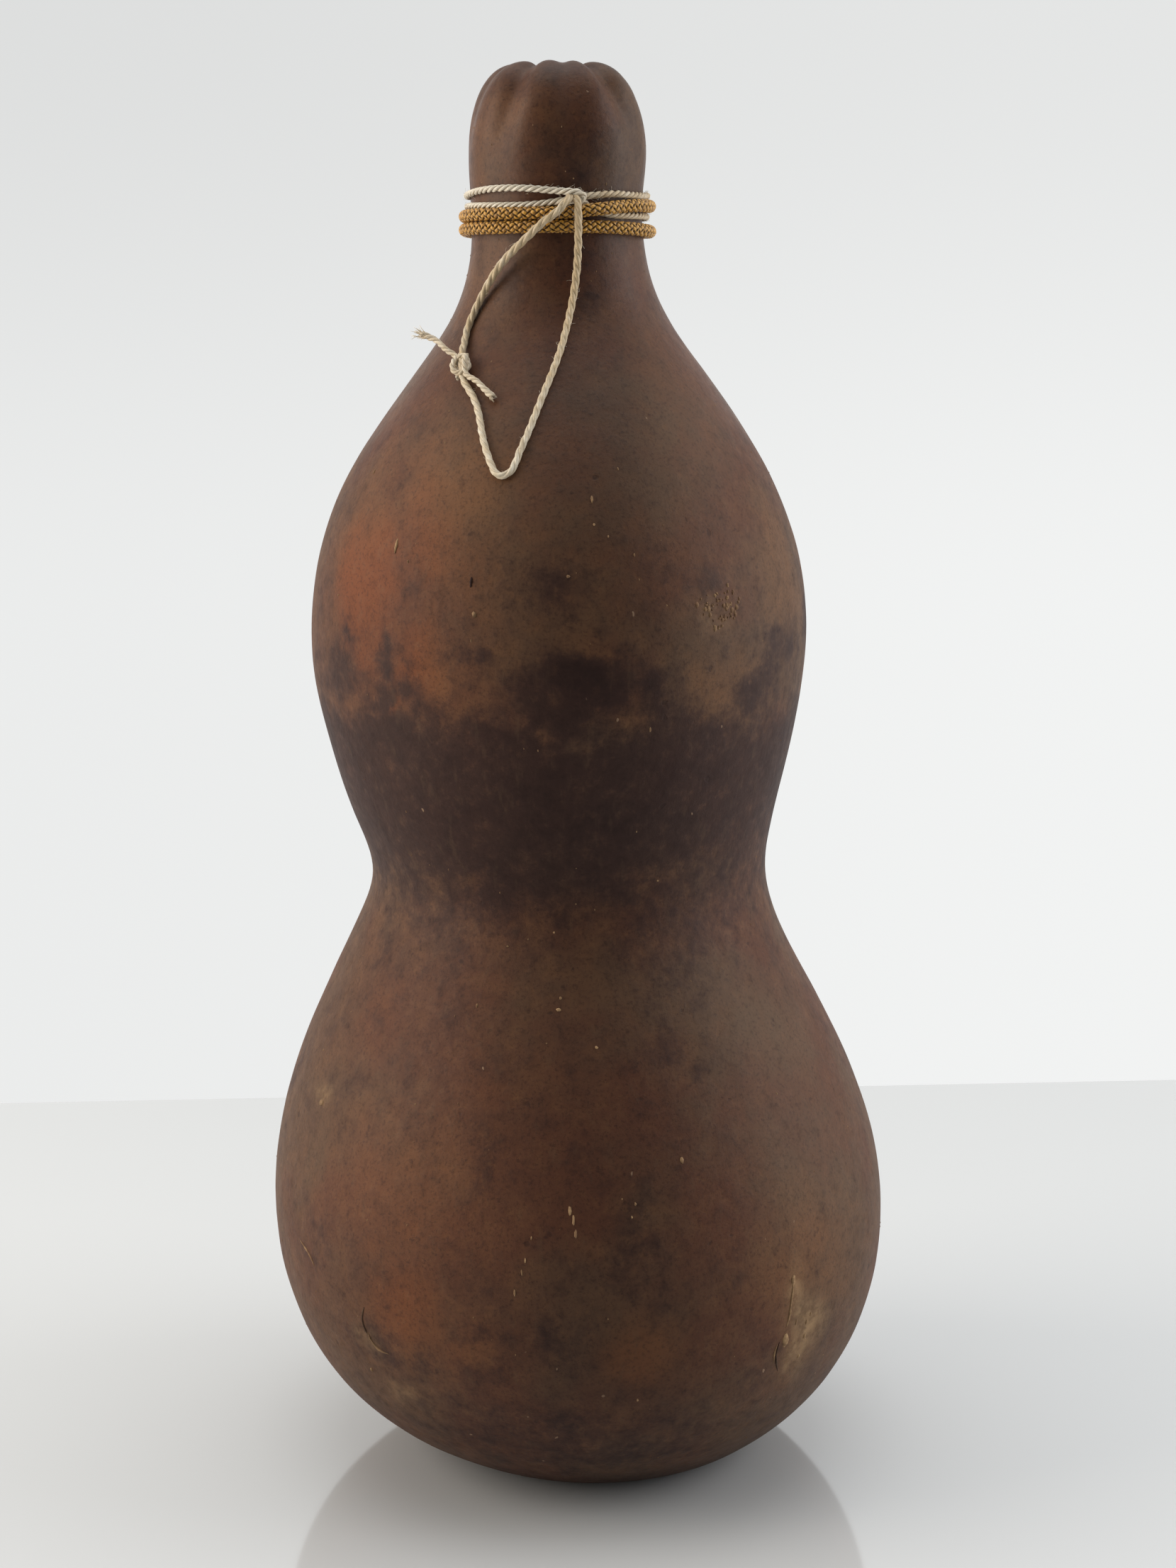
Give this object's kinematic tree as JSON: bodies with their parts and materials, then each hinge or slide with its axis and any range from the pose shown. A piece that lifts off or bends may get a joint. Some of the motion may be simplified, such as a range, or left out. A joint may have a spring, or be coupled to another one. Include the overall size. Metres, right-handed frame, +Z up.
{
  "type": "dried bottle gourd",
  "caption": "Dried bottle gourd with two bulbs, a waist and a lobed neck, wound with braided gold cord and a pale string that hangs in a knotted loop.",
  "frame": {"origin": "on the surface it stands on, below the middle of the lower bulb", "axes": "+Z up the gourd from the foot to the stem end; -Y is the front, where the string loop hangs"},
  "size_m": [0.1492, 0.1492, 0.33],
  "materials": {
    "gourd_skin": "satin, waxed, mottled red-brown with dark brown and ochre patches",
    "gold_braid": "braided satin cord, ochre gold",
    "pale_string": "twisted pale beige string with a slight silk sheen"
  },
  "bodies": {
    "root": {"gourd": "gourd_skin", "gold_cord": "gold_braid", "gold_knot": "gold_braid", "string_turns": "pale_string", "string_left": "pale_string", "string_right": "pale_string", "string_knot": "pale_string"}
  },
  "joints": []
}
